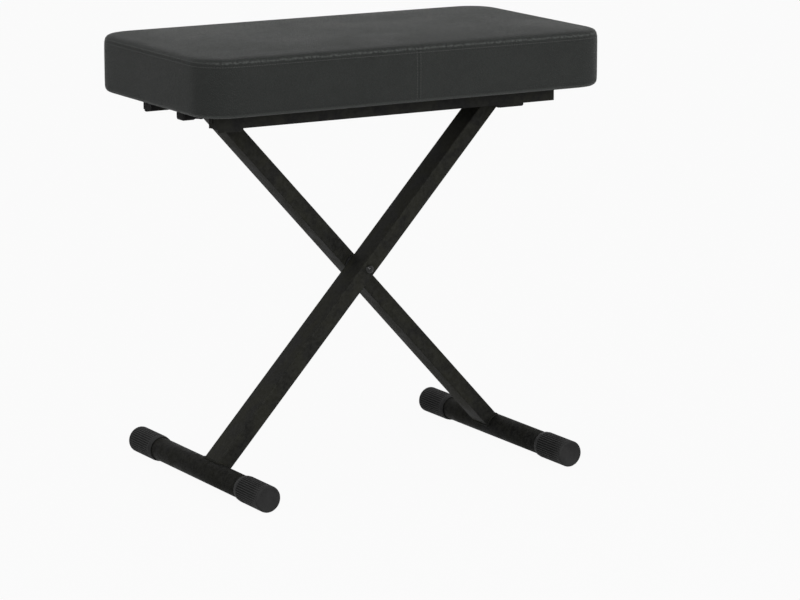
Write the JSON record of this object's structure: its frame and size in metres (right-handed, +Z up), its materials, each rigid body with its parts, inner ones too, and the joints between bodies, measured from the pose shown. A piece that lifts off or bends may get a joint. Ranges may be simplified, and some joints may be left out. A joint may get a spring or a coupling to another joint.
{
  "type": "folding keyboard bench",
  "caption": "Folding padded bench with a thick rectangular cushion on channel rails, crossed box-tube legs on a centre bolt, and round tube feet with ribbed rubber caps.",
  "frame": {"origin": "centre of the bounding box in X and Y, on the floor the feet stand on", "axes": "+X along the seat's long side towards the notched end of the rails, +Y to the rear, +Z up"},
  "size_m": [0.6, 0.3646, 0.5836],
  "materials": {
    "leg_steel": "satin black powder coat",
    "foot_steel": "satin black powder coat",
    "rail_steel": "matt black powder coat",
    "cap_rubber": "moulded, lengthwise ribs",
    "buffer_rubber": "matt",
    "bright_steel": "bright plated",
    "nylon": "matt",
    "fastener_zinc": "zinc plated",
    "leatherette": "fine-grained black leatherette",
    "foam": "open-cell foam",
    "plywood": "bare plywood"
  },
  "bodies": {
    "rear_leg_frame": {"rear_leg": "leg_steel", "rear_leg_foot_tube": "foot_steel", "rear_leg_cap_front": "cap_rubber", "rear_leg_cap_rear": "cap_rubber", "rear_leg_cross_tube": "leg_steel", "pivot_bush_front": "nylon", "pivot_bush_rear": "nylon", "centre_bolt": "fastener_zinc", "leg_spacer": "nylon", "centre_washer": "fastener_zinc", "centre_nut": "fastener_zinc"},
    "front_leg_frame": {"front_leg": "leg_steel", "front_leg_foot_tube": "foot_steel", "front_leg_cap_front": "cap_rubber", "front_leg_cap_rear": "cap_rubber", "front_leg_cross_tube": "bright_steel", "notch_rod": "bright_steel", "rod_bush_front": "nylon", "rod_bush_rear": "nylon", "buffer_front": "buffer_rubber", "buffer_rear": "buffer_rubber"},
    "seat": {"seat_cover": "leatherette", "foam_core": "foam", "seat_board": "plywood", "front_rail": "rail_steel", "rear_rail": "rail_steel", "rail_screw_1": "fastener_zinc", "rail_screw_2": "fastener_zinc", "rail_screw_3": "fastener_zinc", "rail_screw_4": "fastener_zinc", "rail_screw_5": "fastener_zinc", "rail_screw_6": "fastener_zinc", "rail_screw_7": "fastener_zinc", "rail_screw_8": "fastener_zinc", "stop_block": "buffer_rubber", "block_screw_1": "fastener_zinc", "block_screw_2": "fastener_zinc", "pivot_bolt": "fastener_zinc", "pivot_washer_front": "fastener_zinc", "pivot_washer_rear": "fastener_zinc", "pivot_nut": "fastener_zinc"}
  },
  "joints": [
    {"name": "leg_fold", "type": "hinge", "parent": "rear_leg_frame", "child": "front_leg_frame", "pos_m": [0, 0, 0.268], "axis": [0, 1, 0], "range_deg": [0, 89]},
    {"name": "seat_turn", "type": "hinge", "parent": "rear_leg_frame", "child": "seat", "pos_m": [-0.20309, 0, 0.491], "axis": [0, 1, 0], "range_deg": [0, 44.5]}
  ],
  "couplings": [
    {"joint": "seat_turn", "follows": "leg_fold", "ratio": 0.5}
  ]
}
